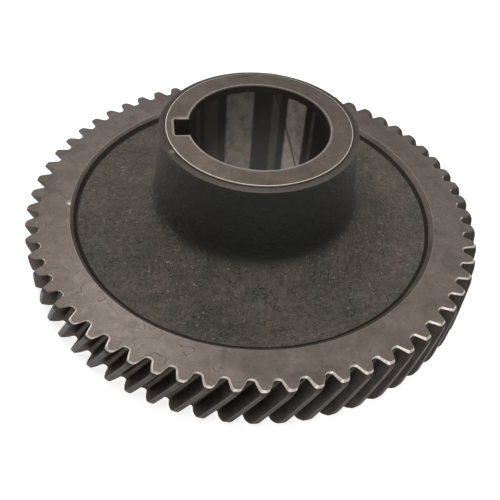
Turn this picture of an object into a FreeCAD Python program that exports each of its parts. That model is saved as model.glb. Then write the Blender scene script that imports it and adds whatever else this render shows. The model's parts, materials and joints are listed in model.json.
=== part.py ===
# Helical transmission gear, forged in one piece and machined all over but for its web and neck.
# Millimetres. +Z runs along the gear's axis. The rim and the short end of the hub stand on
# z = 0, and the keyway in the bore faces -X.

import FreeCAD, Part
import math
import os

import Sketcher

# Driving dimensions: each is one cell of the sheet.
SIZES = {
    # teeth: depths are measured from the pitch circle
    "tooth_count": 62,
    "normal_module": 3.0,
    "helix_angle": 31.0,
    "pressure_angle": 20.0,
    "addendum": 3.7,
    "dedendum": 2.85,
    # share of the module that the cutter stood off: thicker teeth
    "profile_shift": 0.15,
    "root_rounding": 1.5,
    "tip_chamfer": 1.3,
    # turn from the keyway's middle to the nearest gap, on the upper face
    "gap_turn": 1.2,
    # rim, with a recess in each face
    "rim_width": 26.0,
    "rim_wall": 16.5,
    "upper_edge_chamfer": 1.8,
    "lower_edge_chamfer": 1.0,
    "upper_recess_depth": 3.6,
    "upper_wall_slope": 1.7,
    "lower_wall_slope": 3.0,
    # web, which flares up to the hub's neck
    "web_thickness": 13.0,
    "flare_width": 20.5,
    "flare_height": 12.0,
    "neck_spread": 3.3,
    "neck_fillet": 14.0,
    # hub
    "bore_diameter": 64.5,
    "bore_chamfer": 0.5,
    "hub_rise": 48.0,
    "hub_wall": 13.3,
    "hub_chamfer_width": 2.9,
    "hub_chamfer_height": 1.2,
    "lower_boss_wall": 16.0,
    # keyway, its depth measured from the bore
    "key_width": 12.0,
    "key_depth": 6.3,
}

# What the sizes give, as expressions of the sheet's cells.
PITCH_RADIUS = "(sheet.tooth_count * sheet.normal_module / 2 / cos(sheet.helix_angle * 1deg))"
TIP_RADIUS = f"({PITCH_RADIUS} + sheet.addendum)"
ROOT_RADIUS = f"({PITCH_RADIUS} - sheet.dedendum)"
TRANSVERSE_ANGLE = "atan(tan(sheet.pressure_angle * 1deg) / cos(sheet.helix_angle * 1deg))"
BASE_RADIUS = f"({PITCH_RADIUS} * cos({TRANSVERSE_ANGLE}))"
FLANK_RADIUS = f"({BASE_RADIUS} * tan({TRANSVERSE_ANGLE}))"
# from the middle of a gap to its flank, on the pitch circle
GAP_TURN = ("((90deg - 360deg / pi * sheet.profile_shift * tan(sheet.pressure_angle * 1deg))"
            " / sheet.tooth_count)")
# and to the centre of its flank's circle, which is on the base circle
FLANK_TURN = f"({GAP_TURN} + {TRANSVERSE_ANGLE})"
HELIX_LEAD = f"(2 * pi * {PITCH_RADIUS} / tan(sheet.helix_angle * 1deg))"

RIM_INNER_RADIUS = f"({ROOT_RADIUS} - sheet.rim_wall)"
UPPER_WALL_FOOT = f"({RIM_INNER_RADIUS} - sheet.upper_wall_slope)"
LOWER_WALL_FOOT = f"({RIM_INNER_RADIUS} - sheet.lower_wall_slope)"
BORE_RADIUS = "(sheet.bore_diameter / 2)"
HUB_RADIUS = f"({BORE_RADIUS} + sheet.hub_wall)"
HUB_EDGE = f"({HUB_RADIUS} - sheet.hub_chamfer_width)"
NECK_FOOT = f"({HUB_RADIUS} + sheet.neck_spread)"
FLARE_FOOT = f"({NECK_FOOT} + sheet.flare_width)"
BOSS_RADIUS = f"({BORE_RADIUS} + sheet.lower_boss_wall)"
BOSS_FOOT = f"({BOSS_RADIUS} + sheet.lower_wall_slope)"

RIM_TOP = "sheet.rim_width"
HUB_TOP = f"({RIM_TOP} + sheet.hub_rise)"
HUB_SHOULDER = f"({HUB_TOP} - sheet.hub_chamfer_height)"
WEB_TOP = f"({RIM_TOP} - sheet.upper_recess_depth)"
WEB_BOTTOM = f"({WEB_TOP} - sheet.web_thickness)"
FLARE_TOP = f"({WEB_TOP} + sheet.flare_height)"
# The base plane needs no expression.
BASE = "0"

# The tooth cutter runs this far out of the rim's faces and past the tips.
OVERRUN = 1.5
# Two lengths this close are taken as one when an edge is looked up.
MATCH = 0.001
# The points of a line or an arc in a sketch, and the sketch's own origin and X axis.
START, END, CENTRE = 1, 2, 3
ORIGIN = (-1, 1)
X_AXIS = -1


def make_sheet(doc):
    """Fill the sheet with names in column A and numbers in column B."""
    sheet = doc.addObject("Spreadsheet::Sheet", "sheet")
    for row, (alias, number) in enumerate(SIZES.items(), start=1):
        sheet.set(f"A{row}", alias)
        sheet.set(f"B{row}", str(number))
        sheet.setAlias(f"B{row}", alias)
    doc.recompute()
    return sheet


def value(item, expression):
    """The number that an expression of the sheet's cells gives now."""
    return float(item.evalExpression(expression))


def new_sketch(body, name, role):
    """A sketch on one of the body's own origin planes."""
    plane = next(item for item in body.Origin.OriginFeatures if item.Role == role)
    sketch = body.newObject("Sketcher::SketchObject", name)
    sketch.AttachmentSupport = [(plane, "")]
    sketch.MapMode = "FlatFace"
    return sketch


def constrain(sketch, kind, *where):
    return sketch.addConstraint(Sketcher.Constraint(kind, *where))


def bind(sketch, kind, *where, to):
    """Add a dimension to a sketch and drive it by an expression."""
    index = constrain(sketch, kind, *where, value(sketch, to))
    sketch.setExpression(f"Constraints[{index}]", to)


def draw_outline(sketch, corners):
    """Draw a closed outline through corners: across, up and perhaps a rounding, as expressions."""
    points = [FreeCAD.Vector(value(sketch, corner[0]), value(sketch, corner[1]))
              for corner in corners]
    following = [(index + 1) % len(points) for index in range(len(points))]
    for start, end in enumerate(following):
        sketch.addGeometry(Part.LineSegment(points[start], points[end]))
    for index, after in enumerate(following):
        constrain(sketch, "Coincident", index, END, after, START)
    for index, (across, up, *rounding) in enumerate(corners):
        corner = (index, START)
        if rounding:
            # the rounding's arc and the corner it cuts off become the sketch's last items
            sketch.fillet(index, START, value(sketch, rounding[0]), True, True)
            bind(sketch, "Radius", sketch.GeometryCount - 2, to=rounding[0])
            corner = (sketch.GeometryCount - 1, START)
        bind(sketch, "DistanceX", *ORIGIN, *corner, to=across)
        if up == BASE:
            constrain(sketch, "PointOnObject", *corner, X_AXIS)
        else:
            bind(sketch, "DistanceY", *ORIGIN, *corner, to=up)


def ring_edges(shape, radius, height):
    """Names of the whole circles of a shape at one radius and height."""
    return [
        f"Edge{number}" for number, edge in enumerate(shape.Edges, start=1)
        if isinstance(edge.Curve, Part.Circle)
        and abs(edge.Curve.Radius - radius) < MATCH
        and abs(edge.Curve.Center.z - height) < MATCH
    ]


def chamfer_rings(body, name, size, rings):
    """Chamfer the turned edges at the given radii and heights."""
    base = body.Tip
    names = []
    for radius, height in rings:
        names += ring_edges(base.Shape, value(base, radius), value(base, height))
    chamfer = body.newObject("PartDesign::Chamfer", name)
    chamfer.Base = (base, names)
    chamfer.setExpression("Size", size)
    body.Document.recompute()


def turn_blank(body):
    """The forging with its turned faces: half its section, turned about the axis."""
    sketch = new_sketch(body, "blank_section", "XZ_Plane")
    draw_outline(sketch, [
        (BORE_RADIUS, BASE),
        (BOSS_RADIUS, BASE),
        (BOSS_FOOT, WEB_BOTTOM),
        (LOWER_WALL_FOOT, WEB_BOTTOM),
        (RIM_INNER_RADIUS, BASE),
        (TIP_RADIUS, BASE),
        (TIP_RADIUS, RIM_TOP),
        (RIM_INNER_RADIUS, RIM_TOP),
        (UPPER_WALL_FOOT, WEB_TOP),
        (FLARE_FOOT, WEB_TOP),
        (NECK_FOOT, FLARE_TOP, "sheet.neck_fillet"),
        (HUB_RADIUS, HUB_SHOULDER),
        (HUB_EDGE, HUB_TOP),
        (BORE_RADIUS, HUB_TOP),
    ])
    blank = body.newObject("PartDesign::Revolution", "blank")
    blank.Profile = sketch
    blank.ReferenceAxis = (sketch, ["V_Axis"])
    blank.Angle = 360
    body.Document.recompute()
    chamfer_rings(body, "upper_rim_edge", "sheet.upper_edge_chamfer",
                  [(RIM_INNER_RADIUS, RIM_TOP)])
    chamfer_rings(body, "lower_edges", "sheet.lower_edge_chamfer",
                  [(RIM_INNER_RADIUS, BASE), (BOSS_RADIUS, BASE)])
    chamfer_rings(body, "bore_edges", "sheet.bore_chamfer",
                  [(BORE_RADIUS, BASE), (BORE_RADIUS, HUB_TOP)])
    chamfer_rings(body, "tip_edges", "sheet.tip_chamfer",
                  [(TIP_RADIUS, BASE), (TIP_RADIUS, RIM_TOP)])


def draw_gap(sketch):
    """One gap between two teeth, square to the axis and about the sketch's X axis.

    Each flank is the involute's circle of curvature at the pitch circle, whose centre is on
    the base circle. A flat joins it to the root circle: the chord of the rounding there.
    """
    root = value(sketch, ROOT_RADIUS)
    rounding = value(sketch, "sheet.root_rounding")
    base = value(sketch, BASE_RADIUS)
    flank = value(sketch, FLANK_RADIUS)
    turn = math.radians(value(sketch, FLANK_TURN))
    outer = value(sketch, TIP_RADIUS) + OVERRUN

    # the rounding's centre, by the law of cosines, then the angles where the flank's arc ends
    reach = root + rounding
    cosine = (base ** 2 + reach ** 2 - (flank + rounding) ** 2) / (2 * base * reach)
    root_turn = turn - math.acos(cosine)
    flank_x, flank_y = base * math.cos(turn), base * math.sin(turn)
    rounding_x, rounding_y = reach * math.cos(root_turn), reach * math.sin(root_turn)
    foot_angle = math.atan2(rounding_y - flank_y, rounding_x - flank_x)
    outer_angle = -math.acos((outer - flank_x) / flank)
    outer_y = flank_y + flank * math.sin(outer_angle)

    def add_arc(across, up, radius, ends, construction=False):
        circle = Part.Circle(FreeCAD.Vector(across, up), FreeCAD.Vector(0, 0, 1), radius)
        return sketch.addGeometry(Part.ArcOfCircle(circle, *sorted(ends)), construction)

    def add_line(start, end):
        return sketch.addGeometry(Part.LineSegment(start, end))

    floor = add_arc(0, 0, root, (-root_turn, root_turn))
    roundings = []
    flanks = []
    for side in (1, -1):
        ends = (side * (foot_angle + math.pi), side * (root_turn + math.pi))
        roundings.append(add_arc(rounding_x, side * rounding_y, rounding, ends, True))
        ends = (side * foot_angle, side * outer_angle)
        flanks.append(add_arc(flank_x, side * flank_y, flank, ends))
    flats = [add_line(sketch.getPoint(arc, START), sketch.getPoint(arc, END))
             for arc in roundings]
    mouth = add_line(FreeCAD.Vector(outer, outer_y), FreeCAD.Vector(outer, -outer_y))

    for kind, *where in (
        ("Coincident", floor, CENTRE, *ORIGIN),
        ("Tangent", floor, END, roundings[0], END),
        ("Tangent", roundings[0], START, flanks[0], START),
        ("Coincident", flanks[0], END, mouth, START),
        ("Coincident", mouth, END, flanks[1], START),
        ("Tangent", flanks[1], END, roundings[1], END),
        ("Tangent", roundings[1], START, floor, START),
        ("Coincident", flats[0], START, flanks[0], START),
        ("Coincident", flats[0], END, floor, END),
        ("Coincident", flats[1], START, floor, START),
        ("Coincident", flats[1], END, flanks[1], END),
        ("Vertical", mouth),
        ("Equal", roundings[0], roundings[1]),
        ("Equal", flanks[0], flanks[1]),
        ("Symmetric", flanks[0], CENTRE, flanks[1], CENTRE, X_AXIS),
    ):
        constrain(sketch, kind, *where)
    bind(sketch, "Radius", floor, to=ROOT_RADIUS)
    bind(sketch, "Radius", roundings[0], to="sheet.root_rounding")
    bind(sketch, "Radius", flanks[0], to=FLANK_RADIUS)
    bind(sketch, "DistanceX", *ORIGIN, flanks[0], CENTRE, to=f"{BASE_RADIUS} * cos({FLANK_TURN})")
    bind(sketch, "DistanceY", *ORIGIN, flanks[0], CENTRE, to=f"{BASE_RADIUS} * sin({FLANK_TURN})")
    bind(sketch, "DistanceX", *ORIGIN, mouth, START, to=f"{TIP_RADIUS} + {OVERRUN}")


def cut_teeth(body):
    """Sweep one gap up the right-hand helix, then repeat it round the rim."""
    sketch = new_sketch(body, "gap_section", "XY_Plane")
    draw_gap(sketch)
    twist = f"(360deg * ({RIM_TOP} + {OVERRUN}) / {HELIX_LEAD})"
    sketch.setExpression("AttachmentOffset.Base.z", f"-{OVERRUN}")
    sketch.setExpression("AttachmentOffset.Rotation.Angle",
                         f"180deg + sheet.gap_turn * 1deg - {twist}")
    body.Document.recompute()

    gap = body.newObject("PartDesign::SubtractiveHelix", "tooth_gap")
    gap.Profile = sketch
    gap.ReferenceAxis = (sketch, ["N_Axis"])
    gap.Mode = "pitch-height-angle"
    gap.setExpression("Pitch", HELIX_LEAD)
    gap.setExpression("Height", f"{RIM_TOP} + {2 * OVERRUN}")
    gap.Angle = 0
    gap.LeftHanded = False
    # merging faces here would lose a gap where it crosses the blank's seam
    gap.Refine = False

    teeth = body.newObject("PartDesign::PolarPattern", "teeth")
    teeth.Originals = [gap]
    teeth.Axis = (sketch, ["N_Axis"])
    teeth.Angle = 360
    teeth.setExpression("Occurrences", "sheet.tooth_count")
    teeth.Refine = False
    body.Tip = teeth
    body.Document.recompute()


def cut_keyway(body):
    """A key slot down the whole bore, on the -X side."""
    sketch = new_sketch(body, "key_section", "XY_Plane")
    half_width = "sheet.key_width / 2"
    key_floor = f"-({BORE_RADIUS} + sheet.key_depth)"
    key_mouth = f"-({BORE_RADIUS} - {half_width})"
    draw_outline(sketch, [
        (key_floor, f"-{half_width}"),
        (key_mouth, f"-{half_width}"),
        (key_mouth, half_width),
        (key_floor, half_width),
    ])
    keyway = body.newObject("PartDesign::Pocket", "keyway")
    keyway.Profile = sketch
    keyway.Type = "ThroughAll"
    keyway.Reversed = True
    keyway.Refine = False
    body.Document.recompute()


def check(body):
    """Stop unless every feature is up to date and the gear is one valid solid."""
    for item in body.Document.Objects:
        if "Invalid" in item.State or "Error" in item.State:
            raise RuntimeError(f"{item.Name} failed: {item.State}")
    shape = body.Shape
    if shape.isNull() or not shape.isValid() or len(shape.Solids) != 1:
        raise RuntimeError(f"{body.Label} isn't one valid solid")


def main():
    """Build the gear, check it and write its one solid."""
    doc = FreeCAD.newDocument("transmission_gear")
    make_sheet(doc)
    gear = doc.addObject("PartDesign::Body", "gear_body")
    gear.Label = "helical_gear"
    turn_blank(gear)
    cut_teeth(gear)
    cut_keyway(gear)
    check(gear)
    os.makedirs("parts", exist_ok=True)
    gear.Shape.exportStep(f"parts/{gear.Label}.step")
    print(f"{gear.Label}: {gear.Shape.Volume / 1000:.1f} cm3, {len(gear.Shape.Faces)} faces")


main()
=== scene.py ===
"""Looks of a helical transmission gear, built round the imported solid.

The gear is one forging, so it is one mesh. Each of its regions is a class that holds its sizes in
millimetres and adds its own skin: the teeth, the turned and forged section between rim and bore,
and the bore with its keyway. Each region of the skin takes the finish that the shop gave it.
"""

import cmath
import json
import logging
import math
from collections.abc import Mapping, Sequence
from dataclasses import dataclass, field, replace
from enum import Enum
from typing import Any, NamedTuple

import bpy
from mathutils import Matrix, Vector, noise


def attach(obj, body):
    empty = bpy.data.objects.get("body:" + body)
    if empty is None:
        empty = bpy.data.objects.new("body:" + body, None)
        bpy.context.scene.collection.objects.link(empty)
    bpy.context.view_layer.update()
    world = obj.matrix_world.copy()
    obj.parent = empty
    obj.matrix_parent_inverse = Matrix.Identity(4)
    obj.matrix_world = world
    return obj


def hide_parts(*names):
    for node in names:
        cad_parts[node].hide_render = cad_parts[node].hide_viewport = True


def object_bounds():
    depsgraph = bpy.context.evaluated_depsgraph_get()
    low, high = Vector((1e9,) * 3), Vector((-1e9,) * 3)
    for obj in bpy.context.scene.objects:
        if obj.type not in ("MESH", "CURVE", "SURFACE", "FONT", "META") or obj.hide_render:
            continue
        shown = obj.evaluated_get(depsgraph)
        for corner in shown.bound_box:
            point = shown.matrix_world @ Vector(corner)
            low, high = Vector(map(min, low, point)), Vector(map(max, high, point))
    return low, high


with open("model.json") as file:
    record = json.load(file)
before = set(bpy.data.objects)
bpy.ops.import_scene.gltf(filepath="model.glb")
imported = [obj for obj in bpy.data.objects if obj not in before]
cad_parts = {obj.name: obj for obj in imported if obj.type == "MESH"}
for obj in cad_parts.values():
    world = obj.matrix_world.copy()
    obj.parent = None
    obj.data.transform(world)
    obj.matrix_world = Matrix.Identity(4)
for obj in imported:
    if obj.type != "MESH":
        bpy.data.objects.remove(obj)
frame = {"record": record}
cad_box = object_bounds()

log = logging.getLogger("gear")

MM = 0.001
BODY = "root"
GEAR_NODE = "helical_gear"
# pieces that each ring from the rim's inner edge to the bore is cut into: six to a tooth
ROUND_STEPS = 372

Point = tuple[float, float, float]
Colour = tuple[float, float, float, float]
Tree = bpy.types.NodeTree
Socket = bpy.types.NodeSocket


class Surface(Enum):
    """How each region of the skin was made, in the order of the mesh's material slots."""

    FACED = 0
    BEVELLED = 1
    FLANK = 2
    TIP = 3
    RIM_BAND = 4
    # the recesses' walls and the hub's groove, painted dark as shade
    WALL = 5
    FORGED = 6
    HUB_BAND = 7
    BORE = 8
    KEYWAY = 9
    HUB_END = 10


class End(Enum):
    """Which end of the gear a face is on, as the way it faces along the axis."""

    UPPER = 1
    LOWER = -1


def linear(code: str) -> Colour:
    """Turn an sRGB hex colour into the linear values that a shader takes.

    Args:
        code: Six hex digits after a hash sign.

    Returns:
        Red, green, blue and an alpha of 1.
    """
    def channel(start: int) -> float:
        """The channel whose two digits start here."""
        share = int(code[start:start + 2], 16) / 255
        return share / 12.92 if share <= 0.04045 else ((share + 0.055) / 1.055) ** 2.4

    return channel(1), channel(3), channel(5), 1.0


def record_mount(name: str) -> dict[str, Any]:
    """Find one of the record's mounts by its name."""
    return next(mount for mount in frame["record"]["mounts"] if mount["name"] == name)


class Skin:
    """Collects the gear's points and faces, in millimetres, and makes one closed mesh."""

    def __init__(self) -> None:
        """Start with no points."""
        self.points: list[Point] = []
        self.wear_and_highlight: list[float] = []
        self.faces: list[tuple[int, ...]] = []
        self.surfaces: list[int] = []

    def ring(self, points: Sequence[Point], wear_and_highlight: Sequence[float] | float = 0.0) -> list[int]:
        """Add a closed ring of points.

        Args:
            points: The ring's points in order.
            wear_and_highlight: How far handling has brightened the metal, with painted highlights
                on some edges, from 0 to 1, all round or at each.

        Returns:
            The points' indices.
        """
        first = len(self.points)
        self.points.extend(points)
        self.wear_and_highlight.extend([wear_and_highlight] * len(points) if isinstance(wear_and_highlight, float) else wear_and_highlight)
        return list(range(first, len(self.points)))

    def loft(self, near: Sequence[int], far: Sequence[int],
             surfaces: Surface | Sequence[Surface]) -> None:
        """Join two rings of as many points by quads.

        Args:
            near: The first ring.
            far: The second ring.
            surfaces: The finish of them all, or of each.
        """
        count = len(near)
        each = [surfaces] * count if isinstance(surfaces, Surface) else surfaces
        for index, surface in enumerate(each):
            after = (index + 1) % count
            self.face((near[index], near[after], far[after], far[index]), surface)

    def face(self, corners: tuple[int, ...], surface: Surface) -> None:
        """Add one face."""
        self.faces.append(corners)
        self.surfaces.append(surface.value)

    def mesh(self, name: str, sharp_angle: float) -> bpy.types.Mesh:
        """Make the mesh, in metres.

        Args:
            name: The mesh's name.
            sharp_angle: Edges that turn by more than this, in radians, stay crisp.

        Returns:
            The finished mesh.
        """
        mesh = bpy.data.meshes.new(name)
        mesh.from_pydata([Vector(point) * MM for point in self.points], [], self.faces)
        mesh.polygons.foreach_set("material_index", self.surfaces)
        wear_and_highlight = mesh.attributes.new("wear_and_highlight", "FLOAT", "POINT")
        wear_and_highlight.data.foreach_set("value", self.wear_and_highlight)
        mesh.validate()
        mesh.shade_smooth()
        mesh.set_sharp_from_angle(angle=sharp_angle)
        return mesh


@dataclass(frozen=True)
class ToothForm:
    """The transverse outline of the teeth, as arcs, and their right-hand helix."""

    tooth_count: int = 62
    normal_module: float = 3.0
    helix_angle: float = math.radians(31.0)
    pressure_angle: float = math.radians(20.0)
    addendum: float = 3.7
    dedendum: float = 2.85
    # share of the module that the cutter stood off: thicker teeth
    profile_shift: float = 0.15
    root_rounding: float = 1.5
    tip_rounding: float = 0.4
    tip_chamfer: float = 1.3
    # the lower ends were ground back further
    lower_chamfer: float = 2.1
    # how much rounder a tip's corners get for each millimetre that it is cut back
    nose: float = 1.35
    # how far along the tooth a chamfer reaches for each millimetre of its depth
    chamfer_reach: float = 2.0
    # turn from the keyway's middle to the nearest gap, on the upper face
    gap_turn: float = math.radians(1.2)
    rim_width: float = 26.0
    # how many pieces each stretch of the outline is cut into
    floor_steps: int = 2
    root_steps: int = 5
    flank_steps: int = 6
    tip_steps: int = 3
    land_steps: int = 2

    @property
    def pitch_radius(self) -> float:
        """Radius where tooth and gap are equally wide."""
        return self.tooth_count * self.normal_module / 2 / math.cos(self.helix_angle)

    @property
    def tip_radius(self) -> float:
        """Outside radius."""
        return self.pitch_radius + self.addendum

    @property
    def root_radius(self) -> float:
        """Radius of the gaps' floors."""
        return self.pitch_radius - self.dedendum

    @property
    def half_steps(self) -> int:
        """Points from the middle of a gap to the middle of a tooth."""
        return (self.floor_steps + self.root_steps + self.flank_steps
                + self.tip_steps + self.land_steps)

    def twist(self, height: float) -> float:
        """Turn of the outline at a height, from where it stands on the upper face."""
        return (height - self.rim_width) * math.tan(self.helix_angle) / self.pitch_radius

    def tip_cut(self, height: float) -> float:
        """How far the rounded chamfers cut the tips back.

        Args:
            height: Height above the rim's lower face.

        Returns:
            The cut in millimetres.
        """
        cuts = []
        for chamfer, depth in ((self.tip_chamfer, self.rim_width - height),
                               (self.lower_chamfer, height)):
            end = self.chamfer_reach * chamfer
            cuts.append(chamfer * (1 - min(depth, end) / end) ** 2)
        return max(cuts)

    def half_outline(self, cut: float) -> list[tuple[float, float]]:
        """Radius and turn of the points from the middle of a gap to the middle of a tooth.

        Each flank is the involute's circle of curvature at the pitch circle. Its centre is on
        the base circle, and the arcs at its root and tip run into it.

        Args:
            cut: How far the tip is cut back.

        Returns:
            The points.
        """
        tip_radius = self.tip_radius - cut
        tip_rounding = self.tip_rounding + self.nose * cut
        transverse = math.atan(math.tan(self.pressure_angle) / math.cos(self.helix_angle))
        base = self.pitch_radius * math.cos(transverse)
        flank = base * math.tan(transverse)
        shift = 2 * self.profile_shift * math.tan(self.pressure_angle)
        flank_turn = (math.pi / 2 - shift) / self.tooth_count + transverse
        centre = cmath.rect(base, flank_turn)
        root_centre = self._rolling_centre(self.root_radius + self.root_rounding,
                                           flank + self.root_rounding, base, flank_turn)
        tip_centre = self._rolling_centre(tip_radius - tip_rounding, flank - tip_rounding,
                                          base, flank_turn)

        def arc(middle: complex, radius: float, start: float, end: float,
                steps: int) -> list[complex]:
            """Points of an arc, without its last."""
            return [middle + cmath.rect(radius, start + (end - start) * step / steps)
                    for step in range(steps)]

        root_turn = cmath.phase(root_centre)
        root_end = cmath.phase(root_centre - centre)
        tip_turn = cmath.phase(tip_centre)
        tip_end = cmath.phase(tip_centre - centre)
        middle_of_tooth = math.pi / self.tooth_count
        points = (
            arc(0j, self.root_radius, 0.0, root_turn, self.floor_steps)
            + arc(root_centre, self.root_rounding, root_turn + math.pi, root_end + math.pi,
                  self.root_steps)
            + arc(centre, flank, root_end, tip_end, self.flank_steps)
            + arc(tip_centre, tip_rounding, tip_end, tip_turn, self.tip_steps)
            + arc(0j, tip_radius, tip_turn, middle_of_tooth, self.land_steps)
        )
        return [cmath.polar(point) for point in points] + [(tip_radius, middle_of_tooth)]

    @staticmethod
    def _rolling_centre(reach: float, gap: float, base: float, flank_turn: float) -> complex:
        """Centre of an arc that touches both the flank's circle and a circle about the axis.

        Args:
            reach: Its distance from the gear's axis.
            gap: Its distance from the flank circle's centre.
            base: The flank circle's centre's distance from the axis.
            flank_turn: The flank circle's centre's turn from the middle of the gap.

        Returns:
            The centre, across and along the middle of the gap.
        """
        cosine = (base ** 2 + reach ** 2 - gap ** 2) / (2 * base * reach)
        return cmath.rect(reach, flank_turn - math.acos(cosine))


@dataclass
class ToothRing:
    """The teeth, with the bevel that was cut along their ends by hand."""

    form: ToothForm = field(default_factory=ToothForm)
    bevel: float = 0.31
    # share by which it bites deeper at a tooth's crest than along its flanks
    crest_bevel: float = 0.55
    # the hand-held cutter bites deeper on some teeth than on others
    bevel_scatter: float = 0.35
    # how far apart neighbouring teeth lie in the noise that scatters them, and where it starts
    scatter_step: float = 0.7
    scatter_start: float = 3.1
    # and deeper towards one side of the gear than towards the other
    bevel_bias: float = 0.9
    bevel_bias_turn: float = math.radians(-80.0)
    least_bevel: float = 0.1
    # a bevel narrower than this was hardly touched and is as dark as the crests
    dull_bevel: float = 0.2
    # and one as wide as this is bare, bright metal
    bright_bevel: float = 0.44
    # the cutter presses harder in the gaps' corners, as if the bevel were this much wider
    root_press: float = 0.16
    # painted highlight: how bright the upper edge of each tooth's crest is painted, where light
    # from above catches it
    crest_highlight: float = 0.15
    # depths of the outlines that shape the tips' rounded chamfer, as shares of its end
    chamfer_steps: tuple[float, ...] = (0.36, 0.55, 0.77, 1.0)
    levels: int = 10

    def _bevel(self, tooth: int, end: End) -> float:
        """Width of a tooth's end bevel.

        Args:
            tooth: Number of the tooth.
            end: Which of its ends it is on.

        Returns:
            The width in millimetres.
        """
        turn = math.pi + self.form.gap_turn + (tooth + 0.5) * 2 * math.pi / self.form.tooth_count
        place = Vector((tooth * self.scatter_step, end.value, self.scatter_start))
        scatter = self.bevel_scatter * noise.noise(place)
        bias = self.bevel_bias * math.cos(turn - self.bevel_bias_turn)
        return max(self.bevel * (1 + scatter + bias), self.least_bevel)

    def _outline(self, cut: float) -> list[tuple[float, float, float, float, int]]:
        """Radius, turn, outward normal (radial and sideways) and tooth of every point.

        Args:
            cut: How far the tips are cut back.

        Returns:
            The points, from the middle of the gap at the keyway on.
        """
        form = self.form
        half = form.half_outline(cut)
        pitch = 2 * math.pi / form.tooth_count
        polar = []
        for tooth in range(form.tooth_count):
            start = tooth * pitch
            polar += [(radius, start + turn, tooth) for radius, turn in half[:-1]]
            polar += [(radius, start + pitch - turn, tooth) for radius, turn in half[:0:-1]]
        outline = []
        for index, (radius, turn, tooth) in enumerate(polar):
            before = polar[index - 1]
            after = polar[(index + 1) % len(polar)]
            step = (after[0] * math.cos(after[1] - turn) - before[0] * math.cos(before[1] - turn),
                    after[0] * math.sin(after[1] - turn) - before[0] * math.sin(before[1] - turn))
            length = math.hypot(*step)
            outline.append((radius, turn, step[1] / length, -step[0] / length, tooth))
        return outline

    def _at(self, height: float, end: End | None = None, drop: bool = False) -> list[Point]:
        """The whole outline at one height.

        Args:
            height: Height of the outline, or of the face that a bevel ends on.
            end: The end whose bevel it shapes, if any.
            drop: Whether the points lie at the bevel's outer edge, below or above the face.

        Returns:
            The points.
        """
        form = self.form
        side = end.value if end else 0
        cut = form.tip_cut(height - side * self.bevel)
        crest = form.tip_radius - form.pitch_radius
        points = []
        for radius, turn, radial, sideways, tooth in self._outline(cut):
            outward = max((radius - form.pitch_radius) / crest, 0.0)
            bevel = self._bevel(tooth, end) * (1 + self.crest_bevel * outward) if end else 0.0
            level = height - side * bevel if drop else height
            inward = 0.0 if drop else bevel
            angle = math.pi + form.gap_turn + turn + form.twist(level)
            place = cmath.rect(1.0, angle) * complex(radius - inward * radial, -inward * sideways)
            points.append((place.real, place.imag, level))
        return points

    def _bevel_finishes(self, end: End) -> list[Surface]:
        """Choose the finish of every piece of a bevel.

        Args:
            end: The end that the bevel is on.

        Returns:
            The finishes, from the middle of the gap at the keyway on.
        """
        def finish(bevel: float) -> Surface:
            """The finish of a bevel of this width."""
            if bevel < self.dull_bevel:
                return Surface.TIP
            return Surface.RIM_BAND if bevel < self.bright_bevel else Surface.BEVELLED

        form = self.form
        in_root = form.floor_steps + form.root_steps
        finishes = []
        for tooth in range(form.tooth_count):
            bevel = self._bevel(tooth, end)
            root = [finish(bevel + self.root_press)] * in_root
            finishes += root + [finish(bevel)] * (2 * (form.half_steps - in_root)) + root
        return finishes

    def build(self, skin: Skin) -> tuple[list[int], list[int]]:
        """Add the teeth to the skin.

        Args:
            skin: Where the points and faces go.

        Returns:
            The rings where the teeth meet the upper and the lower face.
        """
        form = self.form
        foot = form.chamfer_reach * form.lower_chamfer
        head = form.chamfer_reach * form.tip_chamfer
        plain = form.rim_width - head - foot
        heights = [foot * step for step in self.chamfer_steps]
        heights += [foot + plain * level / self.levels for level in range(1, self.levels)]
        heights += [form.rim_width - head * step for step in self.chamfer_steps[::-1]]

        upper_face = skin.ring(self._at(form.rim_width, End.UPPER))
        half = form.half_steps
        land = form.tip_steps + form.land_steps
        places = [index % (2 * half) for index in range(len(upper_face))]
        crest = range(half - land + 1, half - form.land_steps + 1)
        # painted highlight along the upper edge of each tooth's crest
        wear_and_highlight = [self.crest_highlight if place in crest else 0.0 for place in places]
        rings = [skin.ring(self._at(form.rim_width, End.UPPER, drop=True))]
        rings += [skin.ring(self._at(height), wear_and_highlight) for height in heights[::-1]]
        rings.append(skin.ring(self._at(0.0, End.LOWER, drop=True)))
        lower_face = skin.ring(self._at(0.0, End.LOWER))

        skin.loft(upper_face, rings[0], self._bevel_finishes(End.UPPER))
        on_side = [Surface.TIP if half - land <= place < half + land else Surface.FLANK
                   for place in places]
        for near, far in zip(rings, rings[1:]):
            skin.loft(near, far, on_side)
        skin.loft(rings[-1], lower_face, self._bevel_finishes(End.LOWER))
        log.info("teeth: %d, outside diameter %.1f mm", form.tooth_count, 2 * form.tip_radius)
        return upper_face, lower_face

    def join_face(self, skin: Skin, outline: Sequence[int], ring: Sequence[int],
                  height: float) -> None:
        """Fill a flat face of the rim between the teeth and the rim's inner edge.

        Args:
            skin: Where the faces go.
            outline: The ring at the teeth.
            ring: The ring at the rim's inner edge, whose first point is on the -X side.
            height: The face's height.
        """
        form = self.form
        per_tooth = 2 * form.half_steps
        count = len(ring)
        turn = form.gap_turn + form.twist(height)

        def nearest(tooth: int) -> int:
            """The ring's point that is nearest to the gap before a tooth."""
            angle = turn + 2 * math.pi * tooth / form.tooth_count
            return round(angle / (2 * math.pi) * count)

        for tooth in range(form.tooth_count):
            outer = [outline[(tooth * per_tooth + step) % len(outline)]
                     for step in range(per_tooth + 1)]
            inner = [ring[step % count] for step in range(nearest(tooth), nearest(tooth + 1) + 1)]
            skin.face(tuple(outer + inner[::-1]), Surface.FACED)


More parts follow.
